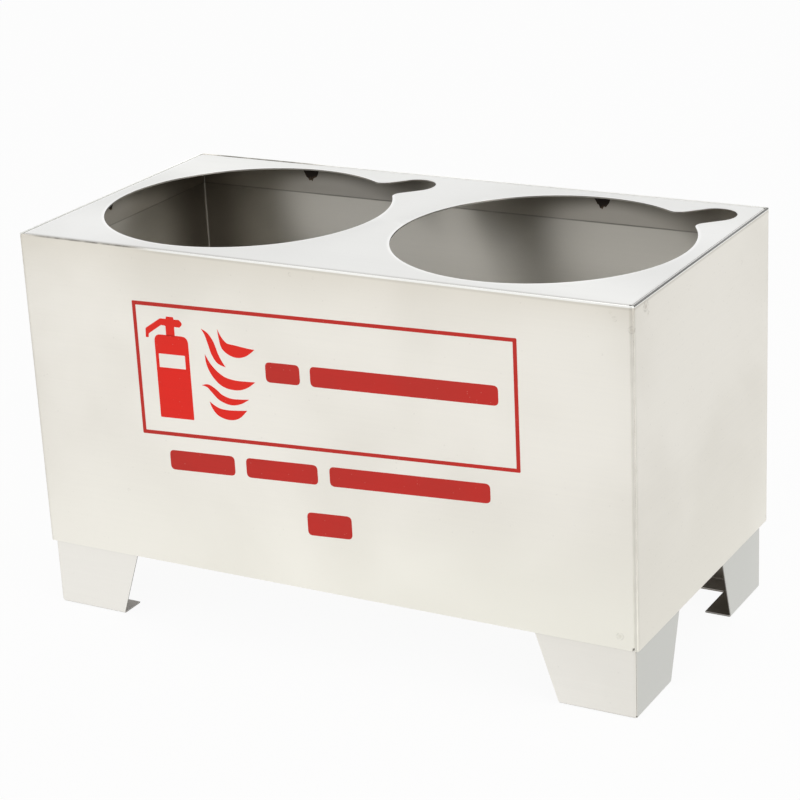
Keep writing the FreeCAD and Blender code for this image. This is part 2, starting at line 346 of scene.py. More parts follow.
def make_fold_wear_and_light():
    """Wear and painted light of the walls by place: worn folds, edge highlight and shadows, foot
    light.
    """
    takes = {"Half Width": 0.2, "Half Depth": 0.1, "Upper Edge": 0.243, "Lower Edge": 0.043,
             "Reach": 0.004}
    gives = ["Fold", "Cut Edge Highlight", "Under Edge Shadow", "Open Joint Shadow", "Top Shade", "Foot Light"]
    group, given, leave = open_group("fold wear and light", takes, gives)
    axes = axes_of(group, given["Place"])
    from_side = calc(group, "SUBTRACT", given["Half Width"], calc(group, "ABSOLUTE", axes["X"]))
    from_face = calc(group, "SUBTRACT", given["Half Depth"], calc(group, "ABSOLUTE", axes["Y"]))
    from_fold = calc(group, "MAXIMUM", from_side, from_face)
    below = calc(group, "SUBTRACT", given["Upper Edge"], axes["Z"])
    above = calc(group, "SUBTRACT", axes["Z"], given["Lower Edge"])
    skin = calc(group, "SUBTRACT", FRONT_SKIN, given["Half Depth"])
    front_wall = calc(group, "LESS_THAN", axes["Y"], skin)
    left_wall = calc(group, "LESS_THAN", axes["X"], LEFT_FACE)

    patchy = ramp(group, noise(group, given["Place"], 130.0, detail=3.0), (0.3, 0.65), (0.45, 1.0))
    fold = times(group, fade_out(group, from_fold, (0.0, given["Reach"])), patchy)
    lit_edge_span = calc(group, "MAXIMUM", fade_in(group, axes["X"], LIT_EDGE_FROM), left_wall)
    cut_edge_highlight = times(group, fade_out(group, below, CUT_EDGE_HIGHLIGHT_END), lit_edge_span)
    under_edge_shadow = times(group, fade_in(group, below, UNDER_EDGE_SHADOW_START),
                       fade_out(group, below, UNDER_EDGE_SHADOW_END), lit_edge_span)
    joint_shadow_span = times(group, fade_in(group, axes["X"], JOINT_SHADOW_FROM), fade_out(group, axes["X"], JOINT_SHADOW_TO))
    open_joint_shadow = times(group, fade_out(group, below, OPEN_JOINT_SHADOW_END), joint_shadow_span, patchy)

    depth = ramp(group, axes["X"], SHADE_ALONG, SHADE_DEPTH)
    shade = ramp(group, below, (0.0, depth), (1.0, 0.0), smooth=False)
    front_foot_light = ramp(group, axes["X"], FOOT_LIGHT_ALONG, FOOT_LIGHT_STRENGTH, smooth=False)
    front_more = calc(group, "SUBTRACT", front_foot_light, FOOT_LIGHT_ELSEWHERE)
    strength = calc(group, "MULTIPLY_ADD", front_wall, front_more, FOOT_LIGHT_ELSEWHERE)
    return close_group(group, leave, {
        "Fold": fold,
        "Cut Edge Highlight": cut_edge_highlight,
        "Under Edge Shadow": under_edge_shadow,
        "Open Joint Shadow": open_joint_shadow,
        "Top Shade": times(group, shade, shade, front_wall),
        "Foot Light": times(group, fade_out(group, above, FOOT_LIGHT_TALL), strength),
    })


def make_weld_mark():
    """A faint spot weld seen from outside: a broken ring round a pressed centre."""
    takes = {"Centre": (0.0, 0.0, 0.0), "Radius": 0.003}
    group, given, leave = open_group("weld mark", takes, ["Ring", "Middle"])
    away = calc_vector(group, "DISTANCE", given["Place"], given["Centre"])
    rough = noise(group, given["Place"], 520.0, detail=2.0)
    share = calc(group, "DIVIDE", away, given["Radius"])
    uneven = calc(group, "MULTIPLY_ADD", calc(group, "SUBTRACT", rough, 0.5), 1.1, share)
    off_ring = calc(group, "ABSOLUTE", calc(group, "SUBTRACT", uneven, 1.0))
    broken = fade_in(group, rough, (0.4, 0.6))
    return close_group(group, leave, {
        "Ring": times(group, fade_out(group, off_ring, (0.0, 0.38)), broken),
        "Middle": fade_out(group, uneven, (0.0, 0.9)),
    })


def make_inner_face():
    """Inside of the box by place: 1 on its faces, its crease and low part, painted shade in corners
    and under the plate.
    """
    takes = {"Middle": (0.0, 0.0, 0.0), "Half Size": (0.1995, 0.0995, 0.24),
             "Crease Height": -1.0, "Crease Width": 0.0011, "Corner Reach": 0.058,
             "Well Offset": WELL_OFFSET, "Well Radius": WELL_RADIUS, "Plate Height": 0.243}
    gives = ["Inside", "Crease", "Corner", "Low", "Under Plate"]
    group, given, leave = open_group("inner face", takes, gives)
    off = calc_vector(group, "SUBTRACT", given["Place"], given["Middle"])
    past = calc_vector(group, "SUBTRACT", calc_vector(group, "ABSOLUTE", off), given["Half Size"])
    past_axes = axes_of(group, past)
    most = calc(group, "MAXIMUM", past_axes["X"], past_axes["Y"])
    most = calc(group, "MAXIMUM", most, past_axes["Z"])
    flat = calc_vector(group, "MULTIPLY", past, (1.0, 1.0, 0.0))
    from_corner = calc_vector(group, "LENGTH", flat)

    axes = axes_of(group, given["Place"])
    over_crease = calc(group, "SUBTRACT", axes["Z"], given["Crease Height"])
    from_crease = calc(group, "ABSOLUTE", over_crease)
    from_well = past_well(group, axes, given["Well Offset"], given["Well Radius"])
    from_well = calc(group, "MAXIMUM", from_well, SHADOW_LEAST)
    under = calc(group, "SUBTRACT", given["Plate Height"], axes["Z"])
    deep = calc(group, "DIVIDE", under, calc(group, "MULTIPLY", from_well, SHADOW_SLOPE))
    strength = ramp(group, from_well, SHADOW_PAST, SHADOW_STRENGTH)
    return close_group(group, leave, {
        "Inside": calc(group, "LESS_THAN", most, 0.0),
        "Crease": fade_out(group, from_crease, (0.0, given["Crease Width"])),
        "Corner": fade_out(group, from_corner, (CORNER_START, given["Corner Reach"])),
        "Low": fade_out(group, axes["Z"], LOW_END),
        "Under Plate": times(group, fade_out(group, deep, (0.0, 1.0)), strength),
    })


def make_plate_edges():
    """Edges of the top plate: painted shade at its front joint, painted highlight on its lips and
    left fold.
    """
    takes = {"Half Depth": 0.099, "Well Offset": WELL_OFFSET, "Well Radius": WELL_RADIUS,
             "Joint": 0.0036, "Lip Highlight": 0.0024}
    group, given, leave = open_group("plate edges", takes, ["Joint", "Lip Highlight"])
    axes = axes_of(group, given["Place"])
    behind_front = calc(group, "ADD", given["Half Depth"], axes["Y"])
    from_well = past_well(group, axes, given["Well Offset"], given["Well Radius"])
    lip_highlight = times(group, fade_out(group, from_well, (0.0, given["Lip Highlight"])),
                calc(group, "GREATER_THAN", axes["Z"], LIP_HIGHLIGHT_FOOT))
    left_fold_highlight = times(group, fade_out(group, axes["X"], LEFT_FOLD_HIGHLIGHT_END),
                      calc(group, "GREATER_THAN", axes["Z"], LEFT_FOLD_HIGHLIGHT_FOOT))
    return close_group(group, leave, {
        "Joint": fade_out(group, behind_front, (0.0, given["Joint"])),
        "Lip Highlight": calc(group, "MAXIMUM", lip_highlight, left_fold_highlight),
    })


def make_heat_spot():
    """Heat left by a tack weld: 1 at its centre and 0 at the end of its reach."""
    takes = {"Centre": (0.0, 0.0, 0.0), "Reach": 0.012}
    group, given, leave = open_group("heat spot", takes, ["Heat"])
    away = calc_vector(group, "DISTANCE", given["Place"], given["Centre"])
    share = calc(group, "DIVIDE", away, given["Reach"])
    return close_group(group, leave, {"Heat": calc(group, "SUBTRACT", 1.0, share, clamp=True)})


def make_fine_specks():
    """Dust specks and tiny pits scattered over the sheet."""
    takes = {"Specks per Metre": 420.0, "Share": 0.2}
    group, given, leave = open_group("fine specks", takes, ["Speck"])
    inputs = {"Vector": given["Place"], "Scale": given["Specks per Metre"]}
    cells = add(group, "ShaderNodeTexVoronoi", inputs).outputs
    chance = add(group, "ShaderNodeSeparateColor", {0: cells["Color"]}).outputs[0]
    kept = calc(group, "LESS_THAN", chance, given["Share"])
    near = fade_out(group, cells["Distance"], (0.05, 0.28))
    return close_group(group, leave, {"Speck": times(group, kept, near)})


def make_sheet_wave():
    """Slow waves of thin sheet that never lies quite flat, in metres of height."""
    takes = {"Waves per Metre": 6.0, "Height": 0.0004}
    group, given, leave = open_group("sheet wave", takes, ["Wave"])
    slow = noise(group, given["Place"], given["Waves per Metre"], detail=1.0, roughness=0.4)
    return close_group(group, leave, {"Wave": times(group, slow, given["Height"])})


ROLLED_GRAIN = make_rolled_grain()
SOFT_STAIN = make_soft_stain()
FOLD_WEAR_AND_LIGHT = make_fold_wear_and_light()
WELD_MARK = make_weld_mark()
INNER_FACE = make_inner_face()
PLATE_EDGES = make_plate_edges()
HEAT_SPOT = make_heat_spot()
FINE_SPECKS = make_fine_specks()
SHEET_WAVE = make_sheet_wave()


def open_material(name):
    """A new material with its shader and the object's own coordinates in metres."""
    material = bpy.data.materials.new(name)
    material.use_nodes = True
    tree = material.node_tree
    tree.nodes.clear()
    shader = add(tree, "ShaderNodeBsdfPrincipled")
    add(tree, "ShaderNodeOutputMaterial", {"Surface": shader.outputs[0]})
    place = add(tree, "ShaderNodeTexCoord").outputs["Object"]
    return material, tree, shader, place


class SteelFinish:
    """Satin stainless sheet. Each wear, mark, painted light and painted shade is laid over those
    before it.
    """

    def __init__(self, name, bright, dull, roughness, stretch, wave=0.00015):
        self.material, self.tree, self.shader, self.place = open_material(name)
        grain = self.use(ROLLED_GRAIN, {"Stretch": stretch, "Contrast": 0.06})
        stain = self.use(SOFT_STAIN, {"Patches per Metre": 8.0})["Stain"]
        speck = self.use(FINE_SPECKS, {"Specks per Metre": 380.0, "Share": 0.04})["Speck"]
        waves = self.use(SHEET_WAVE, {"Height": wave})["Wave"]
        self.tone = grain["Tone"]
        self.colour = self.grained(blend_colour(self.tree, stain, bright, dull))
        self.lay(speck, SPECK)
        self.rough = roughness - GRAIN_ROUGH / 2
        self.height = waves
        self.roughen(grain["Grain"], GRAIN_ROUGH)
        self.roughen(stain, STAIN_ROUGH)
        self.raise_sheet(grain["Grain"], GRAIN_HEIGHT)

    def use(self, group, inputs):
        """Places a node group in this finish."""
        return use_group(self.tree, group, {"Place": self.place, **inputs})

    def lay(self, mask, mark, strength=1.0):
        """Lays a mark over the colour so far where the mask says."""
        self.colour = lay_over(self.tree, self.colour, mask, mark, strength)

    def roughen(self, mask, amount):
        """Makes the sheet rougher where the mask says."""
        self.rough = calc(self.tree, "MULTIPLY_ADD", mask, amount, self.rough)

    def raise_sheet(self, mask, height):
        """Raises the sheet where the mask says, or presses it in."""
        self.height = calc(self.tree, "MULTIPLY_ADD", mask, height, self.height)

    def grained(self, steel):
        """A colour with the tone of the rolling lines."""
        return blend_colour(self.tree, 1.0, steel, self.tone, "MULTIPLY")

    def shade_ends(self, between, steel):
        """Gives the faces at the left and right ends a darker steel of their own: painted shade."""
        middle = self.use(INNER_FACE, between)["Inside"]
        self.colour = blend_colour(self.tree, middle, self.grained(steel), self.colour)

    def darken_inside(self, faces, steel, low_steel=None, shadowed=False, crease=RIM_CREASE_SHADOW):
        """Darker steel on the inner faces as painted shade, lighter low down, darker in corners,
        with a crease line and the plate's shadow.
        """
        inner = self.use(INNER_FACE, faces)
        if low_steel:
            steel = blend_colour(self.tree, inner["Low"], steel, low_steel)
        steel = lay_over(self.tree, steel, inner["Corner"], CORNER_SHADE)
        if shadowed:
            steel = lay_over(self.tree, steel, inner["Under Plate"], PLATE_SHADOW)
        steel = lay_over(self.tree, self.grained(steel), inner["Crease"], crease)
        self.colour = blend_colour(self.tree, inner["Inside"], self.colour, steel)

    def press_welds(self, marks):
        """Faint weld marks, each with a centre, a radius, a strength and a fill."""
        for centre, radius, strength, fill in marks:
            mark = self.use(WELD_MARK, {"Centre": centre, "Radius": radius})
            self.lay(mark["Ring"], WELD_RING, strength)
            self.lay(mark["Middle"], WELD_MIDDLE, fill)
            self.roughen(mark["Middle"], WEAR_ROUGH * strength)
            self.raise_sheet(mark["Middle"], WELD_DENT * strength)

    def wear_and_light_edges(self, size, bands=0.0):
        """Worn folds and painted edge lines. Bands is the strength of the walls' painted foot light
        and top shade.
        """
        wear = self.use(FOLD_WEAR_AND_LIGHT, size)
        self.lay(wear["Foot Light"], FOOT_LIGHT, bands)
        self.lay(wear["Fold"], FOLD_RUB)
        self.lay(wear["Top Shade"], TOP_SHADE, bands)
        self.lay(wear["Under Edge Shadow"], UNDER_EDGE_SHADOW)
        self.lay(wear["Cut Edge Highlight"], CUT_EDGE_HIGHLIGHT)
        self.lay(wear["Open Joint Shadow"], OPEN_JOINT_SHADOW)
        self.roughen(wear["Fold"], WEAR_ROUGH)

    def edge_plate(self, size):
        """Painted shade at the joint in front of the top plate, painted highlight on the lips of
        its wells.
        """
        edges = self.use(PLATE_EDGES, size)
        self.lay(edges["Joint"], PLATE_JOINT_SHADE)
        self.lay(edges["Lip Highlight"], PLATE_LIP_HIGHLIGHT)

    def shade_gap(self, gap):
        """The painted shadow line of a narrow gap between two sheets."""
        self.lay(self.use(INNER_FACE, gap)["Inside"], RIGHT_GAP_SHADOW)

    def close(self, brushed):
        """Connects the finish to its shader and gives the material."""
        inputs = {"Height": self.height, "Distance": 1.0, "Strength": 1.0}
        bump = add(self.tree, "ShaderNodeBump", inputs)
        feed(self.tree, self.shader, {
            "Base Color": self.colour,
            "Roughness": self.rough,
            "Normal": bump.outputs[0],
            "Metallic": 1.0,
            "Anisotropic": brushed,
            "Anisotropic Rotation": 0.25,
        })
        return self.material


def make_wall_steel():
    """Walls: warm satin sheet with weld marks, worn folds, and painted light and shade on edges,
    foot and inside.
    """
    front = wall_low.y
    right = wall_high.x
    marks = [
        ((0.1892, front, 0.0507), 0.0021, 1.25, 0.12),
        ((0.1990, front, 0.2300), 0.0021, 0.4, 0.20),
        ((-0.136, front, 0.087), 0.0009, 0.4, 0.06),
        ((-0.010, front, 0.238), 0.0011, 0.4, 0.06),
        ((0.005, front, 0.2375), 0.0008, 0.4, 0.06),
        ((0.189, front, 0.235), 0.0014, 0.3, 0.10),
        ((0.187, front, 0.2385), 0.0010, 0.3, 0.10),
        ((right, -0.084, 0.2386), 0.0030, 0.5, 0.45),
        ((right, -0.081, 0.2335), 0.0014, 0.4, 0.35),
        ((right, 0.055, 0.2224), 0.0012, 0.3, 0.05),
        ((right, 0.0985, 0.046), 0.0013, 0.7, 0.20),
    ]
    inside = {"Half Size": (right - HALF_SHEET, wall_high.y - HALF_SHEET, wall_high.z - INSIDE_TOP),
              "Crease Height": top_low.z - CREASE_DROP}
    size = {"Half Width": right, "Half Depth": wall_high.y, "Upper Edge": wall_high.z,
            "Lower Edge": wall_low.z, "Reach": 0.0035}
    # The plate lies against the left wall, so its spare width is a gap beside the right wall, in
    # painted shadow
    right_gap = {"Middle": (right - HALF_SHEET, 0.0, wall_high.z),
                 "Half Size": (GAP_HALF_WIDTH, wall_high.y - SHEET, HALF_SHEET)}
    finish = SteelFinish("satin wall sheet", WARM_STEEL, WARM_STEEL_DULL, 0.45, WALL_GRAIN)
    finish.darken_inside(inside, INNER_SHADE_STEEL, low_steel=INNER_SHADE_STEEL_LOW, shadowed=True)
    finish.press_welds(marks)
    finish.wear_and_light_edges(size, bands=1.0)
    finish.shade_gap(right_gap)
    return finish.close(brushed=0.97)


def make_top_steel():
    """Top plate: whiter satin sheet, painted highlight on its lips, painted shade at its front and
    underneath.
    """
    half_width = (top_high.x - top_low.x) / 2
    inside = {"Middle": ((top_low.x + top_high.x) / 2, 0.0, 0.0),
              "Half Size": (half_width - RIM_SKIN, top_high.y - RIM_SKIN, top_high.z - PLATE_SKIN)}
    finish = SteelFinish("satin top sheet", WHITE_STEEL, WHITE_STEEL_DULL, 0.34, PLATE_GRAIN,
                         wave=0.0002)
    finish.darken_inside(inside, TOP_INNER_SHADE_STEEL, shadowed=True)
    finish.edge_plate({"Half Depth": top_high.y})
    return finish.close(brushed=0.9)


def make_base_steel():
    """Base plate: sheet coloured dark as painted shade inside the box, unbrushed."""
    finish = SteelFinish("shaded base sheet", BASE_SHADE_STEEL, BASE_SHADE_STEEL_DARK, 0.42, PLATE_GRAIN)
    return finish.close(brushed=0.0)


def make_leg_steel():
    """Legs: satin sheet with painted shade on the end faces and inside, and a light line in the
    foot.
    """
    side = LEG_SIDE - HALF_SHEET
    inside = {"Middle": (0.0, (LEG_BACK - LEG_FRONT) / 2, 0.0),
              "Half Size": (side, (LEG_BACK + LEG_FRONT) / 2 - HALF_SHEET, 0.1),
              "Crease Height": SHEET, "Crease Width": 0.0004}
    size = {"Half Width": LEG_SIDE, "Half Depth": LEG_FRONT, "Upper Edge": LEG_TOP,
            "Lower Edge": 0.0, "Reach": 0.0030}
    finish = SteelFinish("satin leg sheet", LEG_STEEL, LEG_STEEL_DULL, 0.37, WALL_GRAIN,
                         wave=0.0002)
    finish.shade_ends({"Half Size": (side, 1.0, 1.0)}, LEG_END_SHADE_STEEL)
    finish.darken_inside(inside, LEG_INNER_SHADE_STEEL, crease=FOOT_CREASE)
    finish.wear_and_light_edges(size)
    return finish.close(brushed=0.7)


def red_film(name, bright, faded):
    """Thin red print: slight fading, pinholes and the grain of the steel under it."""
    material, tree, shader, place = open_material(name)
    grain = use_group(tree, ROLLED_GRAIN, {"Place": place, "Stretch": WALL_GRAIN, "Contrast": 0.10})
    stain = use_group(tree, SOFT_STAIN, {"Place": place, "Patches per Metre": 26.0,
                                         "Softness": 0.22})["Stain"]
    pinhole = use_group(tree, FINE_SPECKS, {"Place": place, "Specks per Metre": 700.0,
                                            "Share": 0.05})["Speck"]
    colour = lay_over(tree, bright, stain, (RED_FADING, faded))
    colour = blend_colour(tree, 1.0, colour, grain["Tone"], "MULTIPLY")
    bump = add(tree, "ShaderNodeBump", {"Height": grain["Grain"], "Distance": RED_GRAIN_HEIGHT,
                                        "Strength": 1.0})
    feed(tree, shader, {
        "Base Color": lay_over(tree, colour, pinhole, PINHOLE),
        "Roughness": calc(tree, "MULTIPLY_ADD", stain, RED_STAIN_ROUGH, RED_ROUGH),
        "Normal": bump.outputs[0],
        "Specular IOR Level": 0.22,
    })
    return material


def heat_tint(name, centres):
    """Scorch left by a tack weld: dark in the middle, brown and then clear outwards."""
    material, tree, shader, place = open_material(name)
    heat = 0.0
    for centre in centres:
        inputs = {"Place": place, "Centre": centre, "Reach": SCORCH_REACH}
        heat = calc(tree, "MAXIMUM", use_group(tree, HEAT_SPOT, inputs)["Heat"], heat)
    soot = noise(tree, place, 420.0, detail=3.0)
    uneven = calc(tree, "MULTIPLY_ADD", calc(tree, "SUBTRACT", soot, 0.5), 0.5, heat)
    bump = add(tree, "ShaderNodeBump", {"Height": soot, "Distance": SOOT_HEIGHT, "Strength": 0.6})
    black = fade_in(tree, uneven, (0.15, 0.45))
    feed(tree, shader, {
        "Base Color": blend_colour(tree, black, SCORCH_BROWN, SCORCH_BLACK),
        "Roughness": ramp(tree, uneven, (0.0, 1.0), (0.45, 0.75)),
        "Alpha": fade_in(tree, uneven, (0.02, 0.20)),
        "Normal": bump.outputs[0],
        "Metallic": 0.6,
    })
    return material


def make_materials():
    """All the finishes of the stand, by name."""
    return {
        "wall": make_wall_steel(),
        "top": make_top_steel(),
        "base": make_base_steel(),
        "leg": make_leg_steel(),
        "symbol_red": red_film("bright red film", BRIGHT_RED, BRIGHT_RED_FADED),
        "line_red": red_film("deep red film", DEEP_RED, DEEP_RED_FADED),
        "scorch": heat_tint("weld heat tint", [scorch[1] for scorch in SCORCHES]),
    }


def dress(node, material):
    """Gives a CAD node its finish."""
    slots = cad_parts[node].material_slots
    if not slots:
        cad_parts[node].data.materials.append(material)
    for slot in slots:
        slot.material = material


def keep_piece(work, name, material):
    """Puts finished mesh work in the scene as a piece of the stand."""
    mesh = bpy.data.meshes.new(name)
    work.to_mesh(mesh)
    work.free()
    piece = bpy.data.objects.new(name, mesh)
    bpy.context.scene.collection.objects.link(piece)
    mesh.materials.append(material)
    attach(piece, "root")


def on_wall(x, h):
    """Place on the front wall for x and a height above the sign's foot line, in millimetres."""
    foot = SIGN_FOOT + (x - SIGN_LEFT) * FOOT_RISE
    head = SIGN_FOOT + SIGN_TALL + (x - SIGN_LEFT) * HEAD_RISE
    return x, foot + h * (head - foot) / SIGN_TALL


def film(name, shapes, material):
    """Cuts thin film for the front wall. Each shape is a list of (x, h) loops, outline first."""
    work = bmesh.new()
    for loops in shapes:
        placed = [[on_wall(x, h) for x, h in loop] for loop in loops]
        corners = [[Vector((x, z, 0)) for x, z in loop] for loop in placed]
        backs = []
        fronts = []
        for loop in placed:
            ring = [(x / 1000, wall_low.y, z / 1000) for x, z in loop]
            backs.append([work.verts.new(p) for p in ring])
            fronts.append([work.verts.new((p[0], p[1] - FILM / 1000, p[2])) for p in ring])
        every_back = [v for ring in backs for v in ring]
        every_front = [v for ring in fronts for v in ring]
        for a, b, c in tessellate_polygon(corners):
            work.faces.new((every_front[a], every_front[b], every_front[c]))
            work.faces.new((every_back[c], every_back[b], every_back[a]))
        for back, front in zip(backs, fronts):
            for i in range(len(back)):
                j = (i + 1) % len(back)
                work.faces.new((back[i], back[j], front[j], front[i]))
    bmesh.ops.recalc_face_normals(work, faces=work.faces)
    keep_piece(work, name, material)


def rectangle(left, right, foot, head):
    """Corners of a rectangle, anticlockwise."""
    return [(left, foot), (right, foot), (right, head), (left, head)]


def rounded(corners, radii, steps=6):
    """A closed outline with its corners rounded by the radii, one for each corner."""
    outline = []
    count = len(corners)
    for i, (corner, radius) in enumerate(zip(corners, radii)):
        here = Vector(corner)
        to_last = Vector(corners[i - 1]) - here
        to_next = Vector(corners[(i + 1) % count]) - here
        if radius <= 0:
            outline.append(tuple(here))
            continue
        turn = to_last.angle(to_next)
        reach = min(radius / math.tan(turn / 2), to_last.length * 0.49, to_next.length * 0.49)
        start = here + to_last.normalized() * reach
        end = here + to_next.normalized() * reach
        for k in range(steps + 1):
            t = k / steps
            point = start * (1 - t) ** 2 + here * 2 * t * (1 - t) + end * t ** 2
            outline.append(tuple(point))
    return outline


def smooth_line(points, steps=7):
    """A smooth line through the points, each (x, h, width)."""
    held = [points[0]] + list(points) + [points[-1]]
    line = []
    for i in range(1, len(held) - 2):
        a, b, c, d = (Vector(p) for p in held[i - 1:i + 3])
        for k in range(steps):
            t = k / steps
            slope = (c - a) * t
            bow = (a * 2 - b * 5 + c * 4 - d) * t ** 2
            twist = (b * 3 - a - c * 3 + d) * t ** 3
            line.append((b * 2 + slope + bow + twist) / 2)
    line.append(Vector(points[-1]))
    return line


def flame_lick(points):
    """Outline of one flame stroke: a line that swells and ends in two points."""
    line = smooth_line(points)
    left = []
    right = []
    for i in range(1, len(line) - 1):
        spot = line[i]
        ahead = line[i + 1] - line[i - 1]
        across = Vector((-ahead.y, ahead.x)).normalized() * max(spot.z, 0.0) / 2
        left.append((spot.x + across.x, spot.y + across.y))
        right.append((spot.x - across.x, spot.y - across.y))
    first = (line[0].x, line[0].y)
    last = (line[-1].x, line[-1].y)
    return [first] + left + [last] + right[::-1]


# Valve, handle and hose of the symbol: each corner with its radius.
VALVE = [
    (-98.5, 62.5, 0),
    (-92.4, 62.5, 0),
    (-92.4, 68.4, 0.6),
    (-88.6, 68.2, 1.6),
    (-86.2, 70.6, 2.4),
    (-88.6, 73.0, 1.6),
    (-92.4, 72.9, 0.5),
    (-92.6, 74.4, 0.5),
    (-97.6, 74.4, 0.5),
    (-97.8, 72.9, 0.5),
    (-102.0, 72.9, 1.5),
    (-112.9, 66.0, 1.5),
    (-113.2, 60.3, 0.4),
    (-111.2, 60.3, 0.4),
    (-110.9, 62.7, 1.2),
    (-101.6, 68.8, 1.5),
    (-98.5, 68.6, 0.6),
]

# Strokes of the flames, from the upper left down: points along each with its width there.
LICKS = [
    [(-73.6, 69.0, 0), (-70.2, 65.8, 2.6), (-67.5, 60.6, 4.3), (-65.4, 54.4, 4.5),
     (-62.6, 49.6, 3.6), (-58.2, 46.2, 0)],
    [(-62.2, 69.8, 0), (-60.7, 64.6, 2.0), (-57.4, 59.0, 5.6), (-51.0, 56.8, 7.6),
     (-44.5, 57.0, 5.6), (-37.5, 59.0, 0)],
    [(-72.2, 53.2, 0), (-70.2, 47.2, 2.8), (-66.0, 41.2, 5.0), (-60.0, 36.8, 6.4),
     (-52.0, 35.4, 6.2), (-45.0, 36.4, 4.2), (-38.5, 38.6, 0)],
    [(-76.0, 33.4, 0), (-71.6, 33.2, 2.2), (-67.4, 30.2, 3.8), (-63.0, 26.6, 4.2),
     (-56.5, 24.6, 4.2), (-50.0, 25.2, 3.0), (-43.5, 27.2, 0)],
    [(-71.4, 23.5, 0), (-68.4, 19.8, 3.0), (-64.2, 17.0, 5.2), (-58.0, 16.0, 6.2),
     (-52.0, 17.0, 5.0), (-45.5, 20.0, 0)],
]

# Plain bars in and under the frame: name, foot, height, and where each starts and ends along x.
BARS = [
    ("sign_bars_upper", 39.5, 12.6, [(-31.0, -8.0), (-1.0, 119.0)]),
    ("sign_bars_middle", -23.0, 12.6, [(-103.0, -57.0), (-49.0, 0.0), (8.0, 112.0)]),
    ("sign_bar_lower", -56.5, 15.0, [(-9.0, 21.0)]),
]
BAR_RADIUS = 3.2


def make_sign(materials):
    """The printed sign: frame line, extinguisher symbol, flames and plain bars."""
    red = materials["symbol_red"]
    deep = materials["line_red"]
    half = FRAME_LINE / 2
    outer = rectangle(SIGN_LEFT - half, SIGN_RIGHT + half, -half, SIGN_TALL + half)
    inner = rectangle(SIGN_LEFT + half, SIGN_RIGHT - half, half, SIGN_TALL - half)
    film("sign_frame", [[rounded(outer, [0.8] * 4), rounded(inner, [0.3] * 4)[::-1]]], deep)
    bottle = rounded(rectangle(-107.2, -83.4, 10.4, 62.8), [0.5, 0.5, 4.6, 4.6])
    window = rounded(rectangle(-105.0, -86.4, 42.2, 50.8), [0.4] * 4)
    valve = rounded([(x, h) for x, h, _ in VALVE], [radius for _, _, radius in VALVE])
    film("sign_bottle", [[bottle, window[::-1]]], red)
    film("sign_valve", [[valve]], red)
    film("sign_flames", [[flame_lick(lick)] for lick in LICKS], red)
    for name, foot, tall, spans in BARS:
        bars = [rectangle(left, right, foot, foot + tall) for left, right in spans]
        film(name, [[rounded(bar, [BAR_RADIUS] * 4)] for bar in bars], deep)


# Weld bead in the slit, in metres: how far in from the right wall, up from the foot and behind
# the front face it lies.
BEAD_LEFT = 0.0023
BEAD_RIGHT = 0.0020
BEAD_FOOT = 0.0024
BEAD_BACK = 0.0008
BEAD_SUNK = (0.00004, 0.00009)
BEAD_ROUND = 0.00003
BEAD_STEPS = 90


def make_seam_bead(material):
    """The thin uneven weld bead that closes the slit beside the front right fold."""
    random.seed(11)
    work = bmesh.new()
    left = wall_high.x - BEAD_LEFT
    right = wall_high.x - BEAD_RIGHT
    foot = wall_low.z + BEAD_FOOT
    back = wall_low.y + BEAD_BACK
    rings = []
    for i in range(BEAD_STEPS + 1):
        height = foot + (wall_high.z - foot) * i / BEAD_STEPS
        face = wall_low.y + random.uniform(*BEAD_SUNK)
        shoulder = face + BEAD_ROUND
        outline = [(left, back), (left, shoulder), ((left + right) / 2, face), (right, shoulder),
                   (right, back)]
        rings.append([work.verts.new((x, y, height)) for x, y in outline])
    for lower, upper in zip(rings, rings[1:]):
        for k in range(len(lower)):
            n = (k + 1) % len(lower)
            work.faces.new((lower[k], lower[n], upper[n], upper[k]))
    work.faces.new(rings[0][::-1])
    work.faces.new(rings[-1])
    bmesh.ops.recalc_face_normals(work, faces=work.faces)
    keep_piece(work, "seam_bead", material)


# Heat tint: points round half a ring, the rings' shares of the reach, how ragged and how
# narrow it is, and its height over the sheet at the rim and in the middle.
SCORCH_POINTS = 17
SCORCH_RINGS = (0.0, 0.3, 0.6, 0.85, 1.0)
SCORCH_RAGGED = (0.90, 1.06)
SCORCH_NARROW = 1.5
SCORCH_SKIN = 0.00005
SCORCH_SWELL = 0.00012


def scorch_patch(name, middle, across, width, drop, seed, material):
    """A ragged patch of heat tint, wide at the top plate's underside and pointed below."""
    random.seed(seed)
    work = bmesh.new()
    out = Vector((0, 0, 1)).cross(across)
    lean = [random.uniform(*SCORCH_RAGGED) for _ in range(SCORCH_POINTS)]
    rings = []
    for share in SCORCH_RINGS:
        ring = []
        for k in range(SCORCH_POINTS):
            angle = math.pi * (1 + k / (SCORCH_POINTS - 1))
            reach = share * lean[k]
            aside = math.copysign(abs(math.cos(angle)) ** SCORCH_NARROW, math.cos(angle))
            point = middle + across * (aside * width / 2 * reach)
            point += Vector((0, 0, math.sin(angle) * drop * reach))
            point += out * (SCORCH_SKIN + SCORCH_SWELL * (1 - share))
            ring.append(work.verts.new(point))
        rings.append(ring)
    for inner, outer in zip(rings, rings[1:]):
        for k in range(SCORCH_POINTS - 1):
            work.faces.new((inner[k], outer[k], outer[k + 1], inner[k + 1]))
    bmesh.ops.remove_doubles(work, verts=work.verts, dist=1e-7)
    work.normal_update()
    keep_piece(work, name, material)


def make_scorches(material):
    """Tack welds between the top plate's rims and the walls, seen inside the box."""
    for name, middle, across, width, drop, seed in SCORCHES:
        scorch_patch(name, middle, across, width, drop, seed, material)


